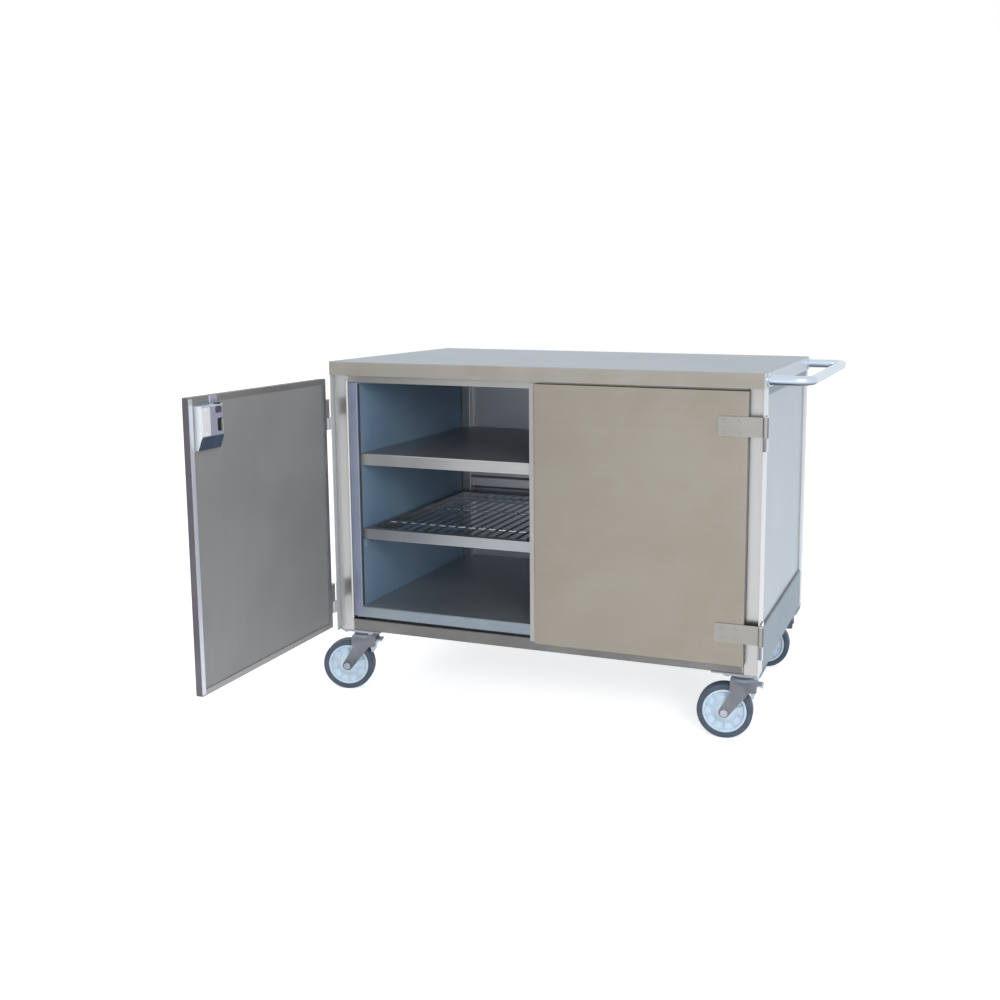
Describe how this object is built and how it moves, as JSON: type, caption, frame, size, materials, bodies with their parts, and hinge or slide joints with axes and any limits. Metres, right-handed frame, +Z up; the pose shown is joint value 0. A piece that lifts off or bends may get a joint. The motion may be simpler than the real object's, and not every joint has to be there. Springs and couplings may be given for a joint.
{
  "type": "enclosed meal tray cart",
  "caption": "Stainless enclosed meal tray cart: cabinet on swivel casters with strap-hinged double doors, a solid shelf, a rod shelf and a loop push handle.",
  "frame": {"origin": "on the floor, under the middle of the space the cart takes up as it stands, left door open and casters trailing to the left", "axes": "+X along the cart towards the push handle, +Y from the doors to the back wall, +Z up"},
  "size_m": [1.4596, 1.3967, 0.996],
  "materials": {
    "stainless_sheet": "brushed stainless sheet, grain along the long side",
    "stainless_frame": "brushed stainless tube",
    "polished_rod": "drawn bright stainless rod and cast bright fittings",
    "zinc_plate": "bright zinc plated pressed steel",
    "wheel_core": "smooth pale blue-grey moulded core",
    "tread": "matt dark grey tread"
  },
  "bodies": {
    "cabinet": {"worktop": "stainless_sheet", "front_posts": "stainless_frame", "rear_posts": "stainless_frame", "header_rail": "stainless_frame", "rear_top_rail": "stainless_frame", "side_top_rails": "stainless_frame", "front_base_rail": "stainless_frame", "rear_base_rail": "stainless_frame", "side_base_rails": "stainless_frame", "corner_gussets": "stainless_frame", "left_side_panel": "stainless_sheet", "right_side_panel": "stainless_sheet", "left_liner": "stainless_sheet", "right_liner": "stainless_sheet", "back_panel": "stainless_sheet", "back_rib": "stainless_sheet", "floor_pan": "stainless_sheet", "rear_uprights": "stainless_frame", "upper_shelf": "stainless_sheet", "shelf_ledges": "stainless_frame", "grid_front_rail": "stainless_frame", "grid_rear_rail": "stainless_frame", "grid_side_rails": "stainless_frame", "grid_rods": "polished_rod", "push_handle": "polished_rod", "handle_rosettes": "polished_rod", "hinge_frame_leaves": "stainless_frame", "hinge_pins": "polished_rod", "caster_plates": "zinc_plate", "caster_bolts": "zinc_plate"},
    "left_door": {"left_door_pan": "stainless_sheet", "left_door_liner": "stainless_sheet", "left_door_straps": "stainless_frame", "latch_cup": "stainless_sheet", "latch_case": "stainless_sheet"},
    "right_door": {"right_door_pan": "stainless_sheet", "right_door_liner": "stainless_sheet", "right_door_straps": "stainless_frame", "astragal": "stainless_sheet"},
    "latch_turn": {"latch_handle": "polished_rod", "latch_crank": "polished_rod"},
    "latch_slide": {"latch_bolt": "polished_rod"},
    "front_left_swivel": {"front_left_fork": "zinc_plate", "front_left_axle": "zinc_plate"},
    "front_left_roller": {"front_left_wheel": "wheel_core", "front_left_tread": "tread"},
    "front_left_brake": {"front_left_brake_pedal": "zinc_plate"},
    "front_right_swivel": {"front_right_fork": "zinc_plate", "front_right_axle": "zinc_plate"},
    "front_right_roller": {"front_right_wheel": "wheel_core", "front_right_tread": "tread"},
    "front_right_brake": {"front_right_brake_pedal": "zinc_plate"},
    "rear_left_swivel": {"rear_left_fork": "zinc_plate", "rear_left_axle": "zinc_plate"},
    "rear_left_roller": {"rear_left_wheel": "wheel_core", "rear_left_tread": "tread"},
    "rear_right_swivel": {"rear_right_fork": "zinc_plate", "rear_right_axle": "zinc_plate"},
    "rear_right_roller": {"rear_right_wheel": "wheel_core", "rear_right_tread": "tread"}
  },
  "joints": [
    {"name": "left_door_hinge", "type": "hinge", "parent": "cabinet", "child": "left_door", "pos_m": [-0.66032, -0.06261, 0.875], "axis": [0, 0, -1], "range_deg": [-89, 181]},
    {"name": "right_door_hinge", "type": "hinge", "parent": "cabinet", "child": "right_door", "pos_m": [0.61468, -0.06261, 0.875], "axis": [0, 0, 1], "range_deg": [0, 270]},
    {"name": "latch_handle_turn", "type": "hinge", "parent": "left_door", "child": "latch_turn", "pos_m": [-0.61733, -0.63495, 0.875], "axis": [0.9998, 0.0175, 0], "range_deg": [0, 90]},
    {"name": "latch_bolt_throw", "type": "slide", "parent": "left_door", "child": "latch_slide", "axis": [0, 0, 1], "range_m": [0, 0.014]},
    {"name": "front_left_swivel_turn", "type": "hinge", "parent": "cabinet", "child": "front_left_swivel", "pos_m": [-0.60332, 0.01939, 0.167], "axis": [0, 0, 1], "continuous": true},
    {"name": "front_left_wheel_spin", "type": "hinge", "parent": "front_left_swivel", "child": "front_left_roller", "pos_m": [-0.65139, 0.00561, 0.076], "axis": [-0.2756, 0.9613, 0], "continuous": true},
    {"name": "front_left_brake_press", "type": "hinge", "parent": "front_left_swivel", "child": "front_left_brake", "pos_m": [-0.57833, 0.02656, 0.146], "axis": [-0.2756, 0.9613, 0], "range_deg": [0, 20]},
    {"name": "front_right_swivel_turn", "type": "hinge", "parent": "cabinet", "child": "front_right_swivel", "pos_m": [0.55768, 0.01939, 0.167], "axis": [0, 0, 1], "continuous": true},
    {"name": "front_right_wheel_spin", "type": "hinge", "parent": "front_right_swivel", "child": "front_right_roller", "pos_m": [0.50795, 0.01416, 0.076], "axis": [-0.1045, 0.9945, 0], "continuous": true},
    {"name": "front_right_brake_press", "type": "hinge", "parent": "front_right_swivel", "child": "front_right_brake", "pos_m": [0.58354, 0.02211, 0.146], "axis": [-0.1045, 0.9945, 0], "range_deg": [0, 20]},
    {"name": "rear_left_swivel_turn", "type": "hinge", "parent": "cabinet", "child": "rear_left_swivel", "pos_m": [-0.60332, 0.62339, 0.167], "axis": [0, 0, 1], "continuous": true},
    {"name": "rear_left_wheel_spin", "type": "hinge", "parent": "rear_left_swivel", "child": "rear_left_roller", "pos_m": [-0.65271, 0.63121, 0.076], "axis": [0.1564, 0.9877, 0], "continuous": true},
    {"name": "rear_right_swivel_turn", "type": "hinge", "parent": "cabinet", "child": "rear_right_swivel", "pos_m": [0.55768, 0.62339, 0.167], "axis": [0, 0, 1], "continuous": true},
    {"name": "rear_right_wheel_spin", "type": "hinge", "parent": "rear_right_swivel", "child": "rear_right_roller", "pos_m": [0.5078, 0.6199, 0.076], "axis": [-0.0698, 0.9976, 0], "continuous": true}
  ],
  "couplings": [
    {"joint": "latch_bolt_throw", "follows": "latch_handle_turn", "m_per_rad": 0.008912}
  ]
}
